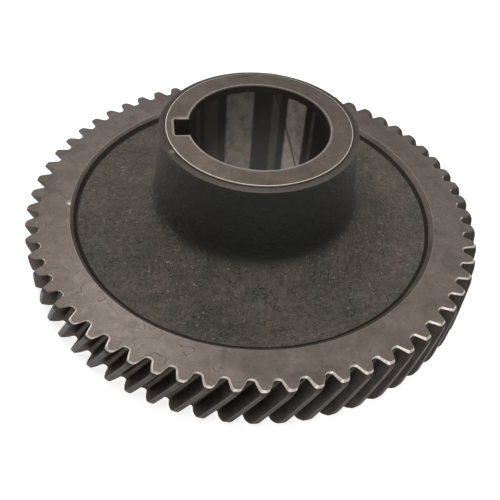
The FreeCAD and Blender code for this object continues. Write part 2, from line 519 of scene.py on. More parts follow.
@dataclass
class Corner:
    """One corner of the turned section.

    Attributes:
        radius: Distance from the axis.
        height: Height above the rim's lower face.
        rounding: Radius of the arc that rounds it, or 0.
        surface: Finish of the stretch that starts here.
        spacing: Longest piece that the stretch is cut into.
        wear_and_highlight: How bright its edge is worn, and partly painted as a highlight.
        climb: How far it rises for each millimetre that the forging is shifted outwards.
    """

    radius: float
    height: float
    rounding: float = 0.0
    surface: Surface = Surface.FACED
    spacing: float = math.inf
    wear_and_highlight: float = 0.0
    climb: float = 0.0

    @property
    def place(self) -> complex:
        """Where it is, across and up."""
        return complex(self.radius, self.height)


class Station(NamedTuple):
    """One point of the turned section, which becomes a ring of the skin.

    Attributes:
        radius: Distance from the axis.
        height: Height above the rim's lower face.
        surface: Finish of the stretch that starts here.
        wear_and_highlight: How bright its edge is worn, and partly painted as a highlight.
        climb: How far it rises for each millimetre that the forging is shifted outwards.
    """

    radius: float
    height: float
    surface: Surface
    wear_and_highlight: float = 0.0
    climb: float = 0.0


@dataclass(frozen=True)
class Nick:
    """A knock on an edge that has bared bright metal.

    Attributes:
        radius: Its distance from the gear's axis, in millimetres.
        turn: Where it is about the axis, in radians.
        reach: How far it spreads.
        depth: How deep it is.
    """

    radius: float
    turn: float
    reach: float
    depth: float

    def bite(self, point: Point) -> float:
        """How far a point lies in the nick, from 0 at its edge to 1 in its middle."""
        middle = (self.radius * math.cos(self.turn), self.radius * math.sin(self.turn))
        return max(0.0, 1 - math.dist(point[:2], middle) / self.reach)


@dataclass
class TurnedSection:
    """Everything between the rim's inner edge and the bore, on one face of the gear."""

    corners: list[Corner]
    nicks: tuple[Nick, ...] = ()
    arc_step: float = math.radians(12.0)
    least_arc_steps: int = 2
    # the forging sat a little off centre in the lathe
    shift: float = 0.35
    shift_turn: float = math.radians(140.0)
    shift_from: float = 84.0
    shift_to: float = 89.1
    # the die's skin isn't quite even
    unevenness: float = 0.12
    uneven_length: float = 9.0
    # its heights are drawn this far away from its radii in the same noise
    lift_offset: Point = (9.0, 4.0, 2.0)

    def _arc(self, index: int) -> list[complex]:
        """Points of a corner, across and up: its arc, or its own point where it is crisp.

        Args:
            index: The corner's number.

        Returns:
            The points.
        """
        corner = self.corners[index]
        if not corner.rounding or not 0 < index < len(self.corners) - 1:
            return [corner.place]
        into = corner.place - self.corners[index - 1].place
        out = self.corners[index + 1].place - corner.place
        into /= abs(into)
        turn = cmath.phase(out / into)
        start = corner.place - into * corner.rounding * math.tan(abs(turn) / 2)
        centre = start + into * complex(0, math.copysign(corner.rounding, turn))
        steps = max(self.least_arc_steps, math.ceil(abs(turn) / self.arc_step))
        return [centre + (start - centre) * cmath.rect(1.0, turn * step / steps)
                for step in range(steps + 1)]

    def _stations(self) -> list[Station]:
        """Cut the section into points.

        Returns:
            The stations, from its first corner to its last.
        """
        stations = []
        for index, corner in enumerate(self.corners):
            before = self.corners[max(0, index - 1)]
            arc = self._arc(index)
            if stations:
                previous = complex(stations[-1].radius, stations[-1].height)
                run = arc[0] - previous
                pieces = math.ceil(abs(run) / before.spacing)
                for piece in range(1, pieces):
                    place = previous + run * piece / pieces
                    stations.append(Station(place.real, place.imag, before.surface))
            for step, place in enumerate(arc):
                surface = corner.surface if step >= len(arc) // 2 else before.surface
                stations.append(Station(place.real, place.imag, surface, corner.wear_and_highlight,
                                        corner.climb))
        return stations

    def _place(self, station: Station, turn: float, forged: bool) -> Point:
        """Turn a station about the axis, with the forging's faults.

        Args:
            station: The station.
            turn: How far it is turned, in radians.
            forged: Whether it lies on the forged skin, which has the faults.

        Returns:
            The point.
        """
        radius = station.radius
        height = station.height
        if forged:
            spot = Vector((radius * math.cos(turn), radius * math.sin(turn), height))
            spot /= self.uneven_length
            share = (radius - self.shift_from) / (self.shift_to - self.shift_from)
            outward = self.shift * min(1.0, max(0.0, share)) * math.cos(turn - self.shift_turn)
            height += outward * station.climb
            radius += outward + self.unevenness * noise.noise(spot)
            if not station.climb:
                height += self.unevenness * noise.noise(spot + Vector(self.lift_offset))
        return radius * math.cos(turn), radius * math.sin(turn), height

    def _knock(self, point: Point, wear_and_highlight: float) -> tuple[Point, float]:
        """Sink a point that lies in a nick, and brighten it.

        Args:
            point: The point.
            wear_and_highlight: How bright it is already.

        Returns:
            The point and how bright it is.
        """
        for nick in self.nicks:
            bite = nick.bite(point)
            point = (point[0], point[1], point[2] - nick.depth * bite)
            wear_and_highlight = max(wear_and_highlight, bite)
        return point, wear_and_highlight

    def build(self, skin: Skin) -> tuple[list[int], list[int]]:
        """Add the section to the skin.

        Args:
            skin: Where the points and faces go.

        Returns:
            Its first and last rings.
        """
        rings = []
        stations = self._stations()
        turns = [math.pi + 2 * math.pi * step / ROUND_STEPS for step in range(ROUND_STEPS)]
        for number, station in enumerate(stations):
            finishes = {station.surface, stations[max(0, number - 1)].surface}
            forged = bool(finishes & {Surface.FORGED, Surface.WALL})
            points, wears = zip(*(self._knock(self._place(station, turn, forged), station.wear_and_highlight)
                                  for turn in turns))
            rings.append(skin.ring(points, wears))
        for near, far, station in zip(rings, rings[1:], stations):
            skin.loft(near, far, station.surface)
        log.info("section: %d rings", len(rings))
        return rings[0], rings[-1]


@dataclass
class KeyedBore:
    """The ground bore with its keyway."""

    radius: float = record_mount("bore")["dims"]["r_mm"]
    height: float = cad_box[1].z / MM
    key_width: float = 12.0
    key_depth: float = 6.3
    corner_rounding: float = 0.8
    bevel: float = 0.5
    # the mouth's edge is rubbed bright for this far out, by this much
    rub: float = 1.1
    rub_wear: float = 0.3
    levels: int = 6
    # how many points each stretch has, from the keyway's middle to the bore
    floor_points: int = 8
    corner_points: int = 3
    side_points: int = 3

    def _outline(self, grown: float) -> list[tuple[float, float]]:
        """The bore's outline with its keyway on the -X side.

        Args:
            grown: How far it is drawn into the metal.

        Returns:
            As many points as the other rings have, from the keyway's middle on.
        """
        half = self.key_width / 2 + grown
        bottom = self.radius + self.key_depth + grown
        rounding = self.corner_rounding + grown
        reach = self.radius + grown
        mouth = math.sqrt(reach ** 2 - half ** 2)
        points = []
        for step in range(self.floor_points):
            points.append((bottom, (half - rounding) * step / self.floor_points))
        for step in range(self.corner_points):
            angle = math.pi / 2 * step / (self.corner_points - 1)
            points.append((bottom - rounding * (1 - math.cos(angle)),
                           half - rounding * (1 - math.sin(angle))))
        for step in range(1, self.side_points + 1):
            start = bottom - rounding
            points.append((start + (mouth - start) * step / self.side_points, half))
        first = len(points) - 1
        start_turn = math.asin(half / reach)
        last = ROUND_STEPS // 2
        for step in range(first + 1, last + 1):
            turn = start_turn + (math.pi - start_turn) * (step - first) / (last - first)
            points.append((reach * math.cos(turn), reach * math.sin(turn)))
        upper = [(-across, -up) for across, up in points]
        lower = [(-across, up) for across, up in points[-2:0:-1]]
        return upper + lower

    def _ring(self, skin: Skin, height: float, grown: float = 0.0, wear_and_highlight: float = 0.0) -> list[int]:
        """Add the outline at one height to the skin."""
        return skin.ring([(across, up, height) for across, up in self._outline(grown)], wear_and_highlight)

    def build(self, skin: Skin, upper_end: Sequence[int], lower_end: Sequence[int]) -> None:
        """Add the bore to the skin.

        Args:
            skin: Where the points and faces go.
            upper_end: The hub's upper ring, which the bore's mouth joins.
            lower_end: The boss's lower ring.
        """
        keyed = self.floor_points + self.corner_points + self.side_points - 1
        in_key = [index < keyed or index >= ROUND_STEPS - keyed for index in range(ROUND_STEPS)]
        mouths = {}
        for end, outer, height in ((End.UPPER, upper_end, self.height),
                                   (End.LOWER, lower_end, 0.0)):
            margin = self._ring(skin, height, self.bevel + self.rub)
            edge = self._ring(skin, height, self.bevel, self.rub_wear)
            mouths[end] = self._ring(skin, height - end.value * self.bevel)
            skin.loft(outer, margin, Surface.HUB_END)
            skin.loft(margin, edge, Surface.HUB_END)
            skin.loft(edge, mouths[end], [Surface.HUB_END if keyway else Surface.HUB_BAND
                                          for keyway in in_key])
        ground = self.height - 2 * self.bevel
        rings = [mouths[End.LOWER]]
        for level in range(1, self.levels):
            rings.append(self._ring(skin, self.bevel + ground * level / self.levels))
        rings.append(mouths[End.UPPER])
        for near, far in zip(rings, rings[1:]):
            skin.loft(near, far, [Surface.KEYWAY if keyway else Surface.BORE for keyway in in_key])
        log.info("bore: diameter %.1f mm, keyway %.1f mm wide", 2 * self.radius, self.key_width)


def add_node(tree: Tree, kind: str,
             settings: Mapping[str | int, Any] | None = None) -> bpy.types.Node:
    """Add a node to a material, with its settings and links.

    Args:
        tree: The material's node tree.
        kind: The node's type.
        settings: Its properties, by their names, and its inputs, by their labels or numbers.
            A socket is linked to its input, and anything else is the input's value.

    Returns:
        The node.
    """
    node = tree.nodes.new(kind)
    for name, setting in (settings or {}).items():
        if isinstance(setting, Socket):
            tree.links.new(setting, node.inputs[name])
        elif isinstance(name, str) and name in node.bl_rna.properties:
            setattr(node, name, setting)
        else:
            node.inputs[name].default_value = setting
    return node


# A noise seldom leaves the middle of its range from 0 to 1, so colours use this much of it,
NOISE_SPAN = {"From Min": 0.3, "From Max": 0.7}
# and gloss, which is to change more suddenly, this much.
GLOSS_SPAN = {"From Min": 0.35, "From Max": 0.65}
NOISE_MIDDLE = 0.5


@dataclass(frozen=True)
class Finish:
    """What every finish of the steel shares: its colours, grain and gloss.

    Attributes:
        name: The metal and how it was made.
        dark: Colour of its darker patches.
        light: Colour of its lighter patches.
        worn: Colour of its rubbed edges and of the painted highlights on edges and crests.
        roughness: Its roughness where it is clean.
        dulling: What its patches add to the roughness.
        patch: Size of a patch in millimetres.
        grain: Size of its grain in millimetres.
        grain_height: Height of the grain in millimetres.
        grain_tint: Share of the colour that the grain changes.
        grain_twist: How far the grain is drawn into short curls.
        ring_pitch: Width of the lathe's rings in millimetres, or 0.
        ring_height: Height of the lathe's rings in millimetres.
        speck: Size of bright flecks in millimetres, or 0.
        curl: Length of the fine curved marks scattered over it in millimetres, or 0.
        curl_width: Their width, as a share of their length.
        curl_height: How far they stand up in millimetres.
        curl_tint: How much lighter they are, as a share.
        curl_grouping: How closely their groups lie, as a share of how closely they do.
        curl_span: Values of the groups' noise where there are none and where there are all.
        speck_span: Values of the flecks' noise where they begin and where they are full.
        speck_cover: Share of the colour that a fleck covers.
        metallic: Share of the surface that is bare metal.
        glance: Colour of what it reflects at a glancing angle.
    """

    name: str
    dark: str
    light: str
    worn: str
    roughness: float
    dulling: float = 0.08
    patch: float = 14.0
    grain: float = 0.5
    grain_height: float = 0.01
    grain_tint: float = 0.15
    grain_twist: float = 0.0
    ring_pitch: float = 0.0
    ring_height: float = 0.004
    speck: float = 0.0
    curl: float = 0.0
    curl_width: float = 0.04
    curl_height: float = 0.0
    curl_tint: float = 0.0
    curl_grouping: float = 0.7
    curl_span: tuple[float, float] = (0.48, 0.58)
    speck_span: tuple[float, float] = (0.7, 0.8)
    speck_cover: float = 0.8
    metallic: float = 1.0
    glance: str = "#ffffff"

    def material(self) -> bpy.types.Material:
        """Make the material.

        Returns:
            The material.
        """
        material = bpy.data.materials.new(self.name)
        material.use_nodes = True
        tree = material.node_tree
        tree.nodes.clear()
        place = add_node(tree, "ShaderNodeTexCoord").outputs["Object"]
        in_mm = add_node(tree, "ShaderNodeVectorMath",
                         {"operation": "SCALE", "Scale": 1 / MM, 0: place}).outputs[0]
        colour, height = self.paint(tree, in_mm)
        patches = add_node(tree, "ShaderNodeTexNoise",
                           {"Scale": 1 / self.patch, "Detail": 3.0, "Roughness": 0.6,
                            "Vector": in_mm}).outputs["Fac"]
        gloss = add_node(tree, "ShaderNodeMapRange",
                         {**GLOSS_SPAN, "To Min": self.roughness,
                          "To Max": self.roughness + self.dulling,
                          "Value": patches}).outputs["Result"]
        bump = add_node(tree, "ShaderNodeBump",
                        {"Distance": MM, "Strength": 1.0, "Height": height}).outputs["Normal"]
        shader = add_node(tree, "ShaderNodeBsdfPrincipled",
                          {"Metallic": self.metallic, "Specular Tint": linear(self.glance),
                           "Base Color": colour, "Roughness": gloss, "Normal": bump})
        add_node(tree, "ShaderNodeOutputMaterial", {"Surface": shader.outputs[0]})
        return material

    def paint(self, tree: Tree, in_mm: Socket) -> tuple[Socket, Socket]:
        """Add the finish's colour and relief.

        Args:
            tree: The material's node tree.
            in_mm: The place on the gear, in millimetres.

        Returns:
            The sockets of the colour and of the height in millimetres.
        """
        patches = add_node(tree, "ShaderNodeTexNoise",
                           {"Scale": 1 / self.patch, "Detail": 4.0, "Roughness": 0.65,
                            "Distortion": 0.4, "Vector": in_mm}).outputs["Fac"]
        spread = add_node(tree, "ShaderNodeMapRange",
                          {**NOISE_SPAN, "Value": patches}).outputs["Result"]
        colour = add_node(tree, "ShaderNodeMix",
                          {"data_type": "RGBA", 0: spread, 6: linear(self.dark),
                           7: linear(self.light)}).outputs[2]
        grain = add_node(tree, "ShaderNodeTexNoise",
                         {"Scale": 1 / self.grain, "Detail": 2.0, "Roughness": 0.6,
                          "Distortion": self.grain_twist, "Vector": in_mm}).outputs["Fac"]
        shade = add_node(tree, "ShaderNodeMapRange",
                         {**NOISE_SPAN, "To Min": 1 - self.grain_tint,
                          "To Max": 1 + self.grain_tint, "Value": grain}).outputs["Result"]
        colour = add_node(tree, "ShaderNodeVectorMath",
                          {"operation": "MULTIPLY", 0: colour, 1: shade}).outputs[0]
        height = add_node(tree, "ShaderNodeMath",
                          {"operation": "MULTIPLY", 0: grain, 1: self.grain_height}).outputs[0]
        if self.ring_pitch:
            height = self._turned(tree, in_mm, height)
        if self.curl:
            colour, height = self._curled(tree, in_mm, colour, height)
        if self.speck:
            colour = self._flecked(tree, in_mm, colour)
        # the mesh's attribute of rubbed edges and painted highlights
        wear_and_highlight = add_node(tree, "ShaderNodeAttribute", {"attribute_name": "wear_and_highlight"}).outputs["Fac"]
        colour = add_node(tree, "ShaderNodeMix",
                          {"data_type": "RGBA", 0: wear_and_highlight, 6: colour,
                           7: linear(self.worn)}).outputs[2]
        return colour, height

    def _turned(self, tree: Tree, in_mm: Socket, height: Socket) -> Socket:
        """Add the rings that the lathe's tool leaves about the axis.

        Args:
            tree: The material's node tree.
            in_mm: The place on the gear, in millimetres.
            height: The relief so far.

        Returns:
            The socket of the relief with the rings.
        """
        flat = add_node(tree, "ShaderNodeVectorMath",
                        {"operation": "MULTIPLY", 0: in_mm, 1: (1.0, 1.0, 0.0)}).outputs[0]
        radius = add_node(tree, "ShaderNodeVectorMath",
                          {"operation": "LENGTH", 0: flat}).outputs["Value"]
        rings = add_node(tree, "ShaderNodeTexNoise",
                         {"noise_dimensions": "1D", "Scale": 1 / self.ring_pitch,
                          "Detail": 2.0, "W": radius}).outputs["Fac"]
        return add_node(tree, "ShaderNodeMath",
                        {"operation": "MULTIPLY_ADD", 0: rings, 1: self.ring_height,
                         2: height}).outputs[0]

    def _curled(self, tree: Tree, in_mm: Socket, colour: Socket,
                height: Socket) -> tuple[Socket, Socket]:
        """Add fine curved marks in groups: the lines along which a noise crosses its middle.

        Args:
            tree: The material's node tree.
            in_mm: The place on the gear, in millimetres.
            colour: The colour so far.
            height: The relief so far.

        Returns:
            The sockets of the colour and of the relief with the marks.
        """
        drawn = add_node(tree, "ShaderNodeTexNoise",
                         {"Scale": 1 / self.curl, "Detail": 1.0, "Vector": in_mm}).outputs["Fac"]
        off = add_node(tree, "ShaderNodeMath",
                       {"operation": "SUBTRACT", 0: drawn, 1: NOISE_MIDDLE}).outputs[0]
        off = add_node(tree, "ShaderNodeMath", {"operation": "ABSOLUTE", 0: off}).outputs[0]
        line = add_node(tree, "ShaderNodeMapRange",
                        {"From Max": self.curl_width, "To Min": 1.0, "To Max": 0.0,
                         "Value": off}).outputs["Result"]
        groups = add_node(tree, "ShaderNodeTexNoise",
                          {"Scale": self.curl_grouping / self.curl, "Detail": 2.0,
                           "Distortion": 0.5, "Vector": in_mm}).outputs["Fac"]
        here = add_node(tree, "ShaderNodeMapRange",
                        {"From Min": self.curl_span[0], "From Max": self.curl_span[1],
                         "Value": groups}).outputs["Result"]
        curls = add_node(tree, "ShaderNodeMath",
                         {"operation": "MULTIPLY", 0: line, 1: here}).outputs[0]
        height = add_node(tree, "ShaderNodeMath",
                          {"operation": "MULTIPLY_ADD", 0: curls, 1: self.curl_height,
                           2: height}).outputs[0]
        shade = add_node(tree, "ShaderNodeMapRange",
                         {"To Min": 1.0, "To Max": 1 + self.curl_tint,
                          "Value": curls}).outputs["Result"]
        colour = add_node(tree, "ShaderNodeVectorMath",
                          {"operation": "MULTIPLY", 0: colour, 1: shade}).outputs[0]
        return colour, height

    def _flecked(self, tree: Tree, in_mm: Socket, colour: Socket) -> Socket:
        """Scatter small bright flecks, of no even shape, over a colour.

        Args:
            tree: The material's node tree.
            in_mm: The place on the gear, in millimetres.
            colour: The colour so far.

        Returns:
            The socket of the colour with the flecks.
        """
        flecks = add_node(tree, "ShaderNodeTexNoise",
                          {"Scale": 1 / self.speck, "Detail": 1.0, "Distortion": 1.0,
                           "Vector": in_mm}).outputs["Fac"]
        cover = add_node(tree, "ShaderNodeMapRange",
                         {"From Min": self.speck_span[0], "From Max": self.speck_span[1],
                          "To Max": self.speck_cover, "Value": flecks}).outputs["Result"]
        return add_node(tree, "ShaderNodeMix",
                        {"data_type": "RGBA", 0: cover, 6: colour,
                         7: linear(self.worn)}).outputs[2]


@dataclass(frozen=True)
class ForgedSkinWithNeckShade(Finish):
    """The forging's own skin, with painted shade that darkens it round the neck.

    Attributes:
        neck_shade_colour: Colour of the shade painted on the neck.
        neck_shade_cover: Share of the skin's own colour that the painted shade hides.
        neck_relief: Share of its grain that the neck keeps.
        neck_shade_from: Height where the painted shade begins, in millimetres.
        neck_shade_to: Height where it is full.
        neck_shade_near: Distance to the -Y side of the axis where the painted shade is thickest.
        neck_shade_far: Distance to its +Y side where it is thinnest.
        neck_shade_thin: Share of the painted shade that is left there.
    """

    neck_shade_colour: str = "#292a26"
    neck_shade_cover: float = 0.95
    neck_relief: float = 0.3
    neck_shade_from: float = 31.5
    neck_shade_to: float = 38.0
    neck_shade_near: float = -42.0
    neck_shade_far: float = 12.0
    neck_shade_thin: float = 0.3

    def paint(self, tree: Tree, in_mm: Socket) -> tuple[Socket, Socket]:
        """Add the forged skin's colour and grain, and paint shade on the neck.

        Args:
            tree: The material's node tree.
            in_mm: The place on the gear, in millimetres.

        Returns:
            The sockets of the colour and of the height in millimetres.
        """
        colour, height = super().paint(tree, in_mm)
        axes = add_node(tree, "ShaderNodeSeparateXYZ", {0: in_mm}).outputs
        # painted shade up the neck, thickest on the -Y side
        neck_shade_most = add_node(tree, "ShaderNodeMapRange",
                        {"From Min": self.neck_shade_near, "From Max": self.neck_shade_far,
                         "To Min": self.neck_shade_cover, "To Max": self.neck_shade_cover * self.neck_shade_thin,
                         "Value": axes[1]}).outputs["Result"]
        neck_shade = add_node(tree, "ShaderNodeMapRange",
                        {"interpolation_type": "SMOOTHSTEP", "From Min": self.neck_shade_from,
                         "From Max": self.neck_shade_to, "To Max": neck_shade_most,
                         "Value": axes[2]}).outputs["Result"]
        colour = add_node(tree, "ShaderNodeMix",
                          {"data_type": "RGBA", 0: neck_shade, 6: colour,
                           7: linear(self.neck_shade_colour)}).outputs[2]
        relief = add_node(tree, "ShaderNodeMapRange",
                          {"To Min": 1.0, "To Max": self.neck_relief,
                           "Value": neck_shade}).outputs["Result"]
        height = add_node(tree, "ShaderNodeMath",
                          {"operation": "MULTIPLY", 0: height, 1: relief}).outputs[0]
        return colour, height


@dataclass(frozen=True)
class Streak:
    """A streak painted along the bore's wall; a light one is a painted reflection.

    Attributes:
        middle: Its middle about the axis at the bore's foot, in degrees.
        width: Its width in degrees.
        strength: Share of its colour that covers the steel.
        lean: Degrees that it turns for each millimetre of height.
        colour: Its colour.
    """

    middle: float
    width: float
    strength: float
    lean: float = 0.0
    # a light streak's colour is a painted reflection
    colour: str = "#a0988c"


@dataclass(frozen=True)
class GroundBore(Finish):
    """A bore ground to size, with painted reflections as light streaks along it.

    Attributes:
        streaks: The light streaks, which are painted reflections, and one thin dark line across
            the broadest.
        streak_edge: How softly a streak ends, in degrees.
        blotch: Size of a streak's blotches in millimetres.
        blotch_span: Values of their noise where a streak is thinnest and where it is full.
        blotch_least: Share of a streak that is left where it is thinnest.
        mouth_depth: Depth below the hub's end that the wheel left dark, in millimetres.
        mouth_ripple: How unevenly that band ends, in millimetres.
        mouth_fade: How softly it ends, in millimetres.
        mouth_dark: Colour of that band.
    """

    # light streaks painted as reflections; the last one is a thin dark line
    streaks: tuple[Streak, ...] = (
        Streak(99.0, 25.0, 0.9), Streak(46.0, 19.0, 1.0, colour="#c9bfb1"),
        Streak(66.0, 7.0, 0.3), Streak(27.0, 4.0, 0.45), Streak(128.0, 16.0, 0.16),
        Streak(146.0, 5.0, 0.25), Streak(18.6, 2.2, 0.9, 0.7, "#33322f"))
    streak_edge: float = 3.0
    blotch: float = 5.0
    blotch_span: tuple[float, float] = (0.25, 0.6)
    blotch_least: float = 0.4
    mouth_depth: float = 4.5
    mouth_ripple: float = 4.0
    mouth_fade: float = 0.8
    mouth_dark: str = "#463d37"

    def paint(self, tree: Tree, in_mm: Socket) -> tuple[Socket, Socket]:
        """Add the ground steel's colour, then the painted reflection streaks and the mouth's dark
        band.

        Args:
            tree: The material's node tree.
            in_mm: The place on the gear, in millimetres.

        Returns:
            The sockets of the colour and of the height in millimetres.
        """
        colour, height = super().paint(tree, in_mm)
        axes = add_node(tree, "ShaderNodeSeparateXYZ", {0: in_mm}).outputs
        turn = add_node(tree, "ShaderNodeMath",
                        {"operation": "ARCTAN2", 0: axes[1], 1: axes[0]}).outputs[0]
        blotches = add_node(tree, "ShaderNodeTexNoise",
                            {"Scale": 1 / self.blotch, "Detail": 3.0, "Roughness": 0.6,
                             "Vector": in_mm}).outputs["Fac"]
        cover = add_node(tree, "ShaderNodeMapRange",
                         {"From Min": self.blotch_span[0], "From Max": self.blotch_span[1],
                          "To Min": self.blotch_least, "Value": blotches}).outputs["Result"]
        # paint the reflection streaks over the ground steel's colour
        for streak in self.streaks:
            mask = self._mask(tree, streak, turn, axes[2])
            mask = add_node(tree, "ShaderNodeMath",
                            {"operation": "MULTIPLY", 0: mask, 1: cover}).outputs[0]
            colour = add_node(tree, "ShaderNodeMix",
                              {"data_type": "RGBA", 0: mask, 6: colour,
                               7: linear(streak.colour)}).outputs[2]
        ripple = add_node(tree, "ShaderNodeMath",
                          {"operation": "MULTIPLY_ADD", 0: blotches, 1: self.mouth_ripple,
                           2: axes[2]}).outputs[0]
        edge = KeyedBore().height - self.mouth_depth + self.mouth_ripple / 2
        mouth = add_node(tree, "ShaderNodeMapRange",
                         {"From Min": edge, "From Max": edge + self.mouth_fade,
                          "Value": ripple}).outputs["Result"]
        colour = add_node(tree, "ShaderNodeMix",
                          {"data_type": "RGBA", 0: mouth, 6: colour,
                           7: linear(self.mouth_dark)}).outputs[2]
        return colour, height

    def _mask(self, tree: Tree, streak: Streak, turn: Socket, level: Socket) -> Socket:
        """How much of a streak's colour covers each place of the bore.

        Args:
            tree: The material's node tree.
            streak: The streak.
            turn: The place's turn about the axis, in radians.
            level: Its height in millimetres.

        Returns:
            The share's socket.
        """
        upright = add_node(tree, "ShaderNodeMath",
                           {"operation": "MULTIPLY_ADD", 0: level,
                            1: -math.radians(streak.lean), 2: turn}).outputs[0]
        off = add_node(tree, "ShaderNodeMath",
                       {"operation": "SUBTRACT", 0: upright,
                        1: math.radians(streak.middle)}).outputs[0]
        off = add_node(tree, "ShaderNodeMath", {"operation": "ABSOLUTE", 0: off}).outputs[0]
        edge = math.radians(min(self.streak_edge, streak.width))
        half = math.radians(streak.width) / 2
        return add_node(tree, "ShaderNodeMapRange",
                        {"interpolation_type": "SMOOTHSTEP", "From Min": half + edge / 2,
                         "From Max": half - edge / 2, "To Max": streak.strength,
                         "Value": off}).outputs["Result"]


# Case-hardened alloy steel, faced on a lathe and oiled: a brown-grey sheen with faint rings.
# The real rings are about 0.2 mm apart, and are drawn coarser here so that they show.
FACED = Finish("steel_faced", "#554d48", "#706761", "#ddd3c9", 0.26, patch=10.0, grain=1.2,
               grain_height=0.012, grain_tint=0.06, ring_pitch=0.8, ring_height=0.006,
               curl=7.0, curl_width=0.012, curl_height=-0.05, curl_tint=-0.12)
# The hub's end, faced in the same way: a copy painted a little darker as shade, and browner.
HUB_END = replace(FACED, name="steel_faced_hub_end", dark="#4d453e", light="#655b53")
# The same steel, freshly cut by hand: the brightest lines on the gear.
BEVELLED = Finish("steel_bevel_cut", "#e3d7cb", "#fff4e8", "#f5e9dd", 0.4, patch=4.0,
                  metallic=0.6)
# Hobbed and shaved flanks under the heat treatment's dark film: near black where they turn away.
FLANK = Finish("steel_hobbed_flank", "#403b37", "#59534d", "#7d766f", 0.45, patch=8.0,
               glance="#c8c4be")
# The outside turning, left under the same film, with a painted highlight along the crests' upper
# edges.
TIP = Finish("steel_turned_tip", "#403d3a", "#57534f", "#a09a93", 0.5, patch=8.0)
# The rim's inner bevel, turned and then stained brown by oil.
RIM_BAND = Finish("steel_rim_bevel", "#71665e", "#8a8077", "#a59a8f", 0.45, metallic=0.85)
# The recess's wall, where scale and old oil gather, and the hub's groove: almost black, painted as
# shade.
WALL = Finish("steel_recess_wall_shade", "#28231f", "#36302b", "#544b45", 0.6, grain=1.1,
              grain_height=0.1, metallic=0.6)
# Hot-forged skin, shot-blasted: rough, olive and brown, with short curls of grain and a few
# flecks. The pits of real shot are under 1 mm, and the grain is drawn coarser so that it shows.
# the neck's darker film is painted shade, thickest on the -Y side
FORGED = ForgedSkinWithNeckShade("steel_forged_skin", "#4c4b43", "#685f55", "#b5ab9f", 0.6, patch=22.0,
                    grain=2.4, grain_height=0.9, grain_tint=0.22, grain_twist=0.3, speck=1.5,
                    curl=3.4, curl_width=0.06, curl_height=0.6, curl_tint=1.0, metallic=0.6)
# The hub's bevel, turned coarsely and stained by oil: dark, with a broken gleam round it.
HUB_BAND = Finish("steel_hub_bevel", "#3a3530", "#514a43", "#aaa095", 0.45, patch=5.0,
                  ring_pitch=0.6, ring_height=0.03, metallic=0.8)
# Ground to size: smooth, dark and glossy, with light streaks that are painted reflections.
BORE = GroundBore("steel_ground_bore", "#35342f", "#403e3a", "#8b857e", 0.35, grain_tint=0.05,
                  metallic=0.35)
# Broached: dull and dark, because light hardly gets in.
KEYWAY = Finish("steel_broached_keyway", "#38342f", "#45413b", "#8a847d", 0.5, metallic=0.5)

FINISHES: dict[Surface, Finish] = {
    Surface.FACED: FACED,
    Surface.BEVELLED: BEVELLED,
    Surface.FLANK: FLANK,
    Surface.TIP: TIP,
    Surface.RIM_BAND: RIM_BAND,
    Surface.WALL: WALL,
    Surface.FORGED: FORGED,
    Surface.HUB_BAND: HUB_BAND,
    Surface.BORE: BORE,
    Surface.KEYWAY: KEYWAY,
    Surface.HUB_END: HUB_END,
}


